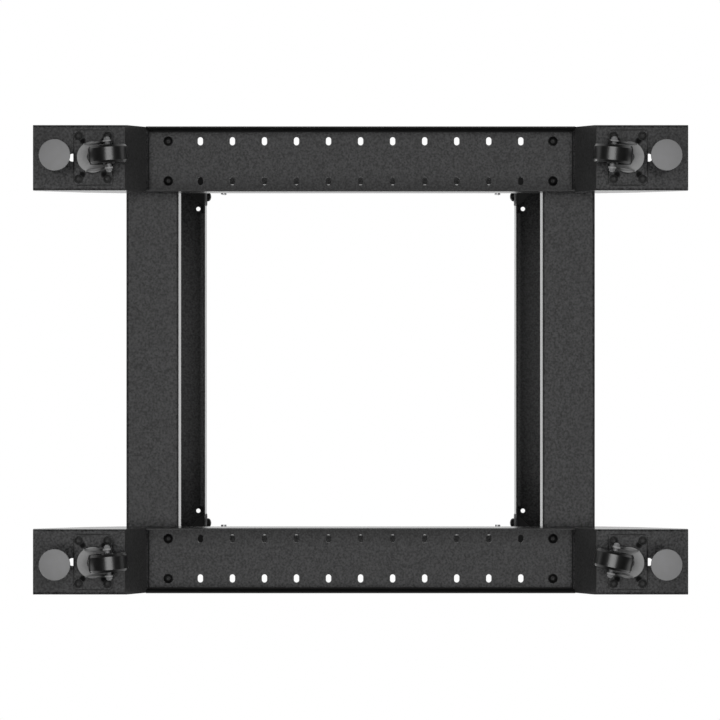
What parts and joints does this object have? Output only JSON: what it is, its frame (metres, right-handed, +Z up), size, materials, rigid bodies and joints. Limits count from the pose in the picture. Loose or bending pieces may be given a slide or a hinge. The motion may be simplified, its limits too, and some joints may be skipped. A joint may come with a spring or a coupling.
{
  "type": "four post open frame rack",
  "caption": "Open four post equipment rack: two end frames joined by slotted side rails, standing on outrigger feet with swivel casters and levelling pads.",
  "frame": {"origin": "on the floor, under the middle of the rack", "axes": "+X to the right across the rack, +Y from the front to the back, +Z up"},
  "size_m": [0.6, 0.837, 1.1127],
  "materials": {
    "black_powder_coat": "fine textured black powder coat",
    "zinc_plate": "dull grey zinc plating",
    "pad_grey": "dull grey plating",
    "wheel_black": "smooth black hard rubber"
  },
  "bodies": {
    "frame": {"base_front_cross_member": "black_powder_coat", "base_rear_cross_member": "black_powder_coat", "top_front_cross_member": "black_powder_coat", "top_rear_cross_member": "black_powder_coat", "base_side_rail_left": "black_powder_coat", "base_side_rail_right": "black_powder_coat", "top_side_rail_left": "black_powder_coat", "top_side_rail_right": "black_powder_coat", "post_front_left": "black_powder_coat", "post_front_right": "black_powder_coat", "post_rear_left": "black_powder_coat", "post_rear_right": "black_powder_coat", "outrigger_foot_front_left": "black_powder_coat", "outrigger_foot_front_right": "black_powder_coat", "outrigger_foot_rear_left": "black_powder_coat", "outrigger_foot_rear_right": "black_powder_coat", "caster_plate_front_left": "black_powder_coat", "caster_plate_front_right": "black_powder_coat", "caster_plate_rear_left": "black_powder_coat", "caster_plate_rear_right": "black_powder_coat", "levelling_nut_front_left": "zinc_plate", "levelling_nut_front_right": "zinc_plate", "levelling_nut_rear_left": "zinc_plate", "levelling_nut_rear_right": "zinc_plate"},
    "swivel_front_left": {"caster_fork_front_left": "zinc_plate", "caster_axle_front_left": "zinc_plate"},
    "wheel_front_left": {"caster_wheel_front_left": "wheel_black"},
    "leveller_front_left": {"levelling_foot_front_left": "pad_grey"},
    "swivel_front_right": {"caster_fork_front_right": "zinc_plate", "caster_axle_front_right": "zinc_plate"},
    "wheel_front_right": {"caster_wheel_front_right": "wheel_black"},
    "leveller_front_right": {"levelling_foot_front_right": "pad_grey"},
    "swivel_rear_left": {"caster_fork_rear_left": "zinc_plate", "caster_axle_rear_left": "zinc_plate"},
    "wheel_rear_left": {"caster_wheel_rear_left": "wheel_black"},
    "leveller_rear_left": {"levelling_foot_rear_left": "pad_grey"},
    "swivel_rear_right": {"caster_fork_rear_right": "zinc_plate", "caster_axle_rear_right": "zinc_plate"},
    "wheel_rear_right": {"caster_wheel_rear_right": "wheel_black"},
    "leveller_rear_right": {"levelling_foot_rear_right": "pad_grey"}
  },
  "joints": [
    {"name": "caster_swivel_front_left", "type": "hinge", "parent": "frame", "child": "swivel_front_left", "pos_m": [-0.2582, -0.34126, 0.0586], "axis": [0, 0, 1], "range_deg": [-90.6, 99.4]},
    {"name": "caster_swivel_front_right", "type": "hinge", "parent": "frame", "child": "swivel_front_right", "pos_m": [0.2582, -0.34126, 0.0586], "axis": [0, 0, 1], "range_deg": [-90.6, 99.4]},
    {"name": "caster_swivel_rear_left", "type": "hinge", "parent": "frame", "child": "swivel_rear_left", "pos_m": [-0.2582, 0.34126, 0.0586], "axis": [0, 0, 1], "range_deg": [-107.3, 82.7]},
    {"name": "caster_swivel_rear_right", "type": "hinge", "parent": "frame", "child": "swivel_rear_right", "pos_m": [0.2582, 0.34126, 0.0586], "axis": [0, 0, 1], "range_deg": [-99.8, 90.2]},
    {"name": "wheel_spin_front_left", "type": "hinge", "parent": "swivel_front_left", "child": "wheel_front_left", "pos_m": [-0.25652, -0.31942, 0.025], "axis": [0.9971, -0.0767, 0], "continuous": true},
    {"name": "wheel_spin_front_right", "type": "hinge", "parent": "swivel_front_right", "child": "wheel_front_right", "pos_m": [0.25988, -0.31942, 0.025], "axis": [0.9971, -0.0767, 0], "continuous": true},
    {"name": "wheel_spin_rear_left", "type": "hinge", "parent": "swivel_rear_left", "child": "wheel_rear_left", "pos_m": [-0.25353, 0.31986, 0.025], "axis": [-0.977, -0.213, 0], "continuous": true},
    {"name": "wheel_spin_rear_right", "type": "hinge", "parent": "swivel_rear_right", "child": "wheel_rear_right", "pos_m": [0.26003, 0.31944, 0.025], "axis": [-0.9965, -0.0837, 0], "continuous": true},
    {"name": "leveller_screw_front_left", "type": "slide", "parent": "frame", "child": "leveller_front_left", "axis": [0, 0, 1], "range_m": [-0.012, 0.025]},
    {"name": "leveller_screw_front_right", "type": "slide", "parent": "frame", "child": "leveller_front_right", "axis": [0, 0, 1], "range_m": [-0.012, 0.025]},
    {"name": "leveller_screw_rear_left", "type": "slide", "parent": "frame", "child": "leveller_rear_left", "axis": [0, 0, 1], "range_m": [-0.012, 0.025]},
    {"name": "leveller_screw_rear_right", "type": "slide", "parent": "frame", "child": "leveller_rear_right", "axis": [0, 0, 1], "range_m": [-0.012, 0.025]}
  ]
}
